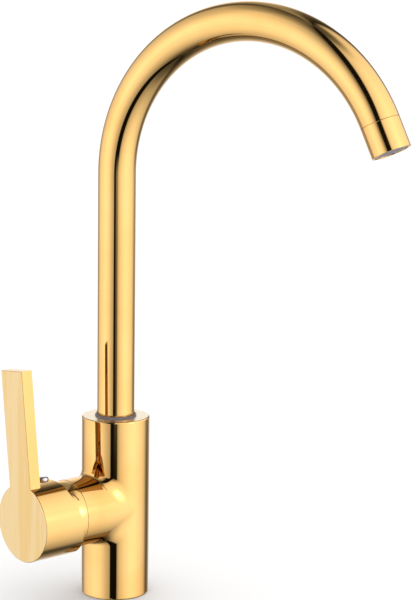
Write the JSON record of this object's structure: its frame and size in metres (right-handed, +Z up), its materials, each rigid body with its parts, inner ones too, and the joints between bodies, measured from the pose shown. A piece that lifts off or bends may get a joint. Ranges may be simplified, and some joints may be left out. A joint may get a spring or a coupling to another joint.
{
  "type": "single-lever kitchen mixer tap",
  "caption": "Kitchen mixer tap with a tall swivel spout bent in a wide arc, a side branch with a flat upright lever, and a cartridge, waterways and aerator inside.",
  "frame": {"origin": "on the deck, at the centre of the body's foot, on the axis that the spout swivels about", "axes": "+Z up along the swivel axis; -X along the branch, out towards the handle; at rest the spout points to -Y, turned 14.4 degrees towards +X"},
  "size_m": [0.1584, 0.2605, 0.4475],
  "materials": {
    "gold": "polished gold plating",
    "raw_brass": "machined, unplated",
    "steel": "bright, machined",
    "chrome": "polished",
    "rubber": "matte",
    "slide_plastic": "satin grey",
    "cartridge_plastic": "moulded white",
    "aerator_plastic": "moulded grey",
    "ceramic": "ground ceramic, white"
  },
  "bodies": {
    "body": {"body": "gold", "base_gasket": "rubber", "spout_slide_ring": "slide_plastic", "cartridge_base": "cartridge_plastic", "cartridge_seals": "rubber", "ceramic_disc_fixed": "ceramic", "cartridge_housing": "cartridge_plastic", "cartridge_nut": "raw_brass", "bezel_ring": "gold"},
    "spout": {"spout_tube": "gold", "spout_bush": "raw_brass", "spout_o_ring_lower": "rubber", "spout_o_ring_upper": "rubber", "spout_snap_ring": "steel", "outlet_insert": "raw_brass", "aerator_sleeve": "gold", "aerator_gasket": "rubber", "aerator_core": "aerator_plastic", "aerator_screen": "steel"},
    "carrier": {"cartridge_carrier": "cartridge_plastic", "lift_pin": "steel"},
    "handle": {"handle": "gold", "cartridge_stem": "raw_brass", "handle_set_screw": "steel", "indicator_plug": "chrome"},
    "mixing_disc": {"ceramic_disc_moving": "ceramic", "disc_coupler": "cartridge_plastic"}
  },
  "joints": [
    {"name": "spout_swivel", "type": "hinge", "parent": "body", "child": "spout", "pos_m": [0, 0, 0.137], "axis": [0, 0, 1], "continuous": true},
    {"name": "handle_mix", "type": "hinge", "parent": "body", "child": "carrier", "pos_m": [-0.0467, 0, 0.0688], "axis": [1, 0, 0], "range_deg": [-38.4, 51.6]},
    {"name": "handle_lift", "type": "hinge", "parent": "carrier", "child": "handle", "pos_m": [-0.0467, 0, 0.0688], "axis": [0, -0.9934, 0.1149], "range_deg": [0, 21]},
    {"name": "disc_slide", "type": "slide", "parent": "carrier", "child": "mixing_disc", "axis": [0, 0.1149, 0.9934], "range_m": [0, 0.005]}
  ],
  "couplings": [
    {"joint": "disc_slide", "follows": "handle_lift", "m_per_rad": 0.013395}
  ]
}
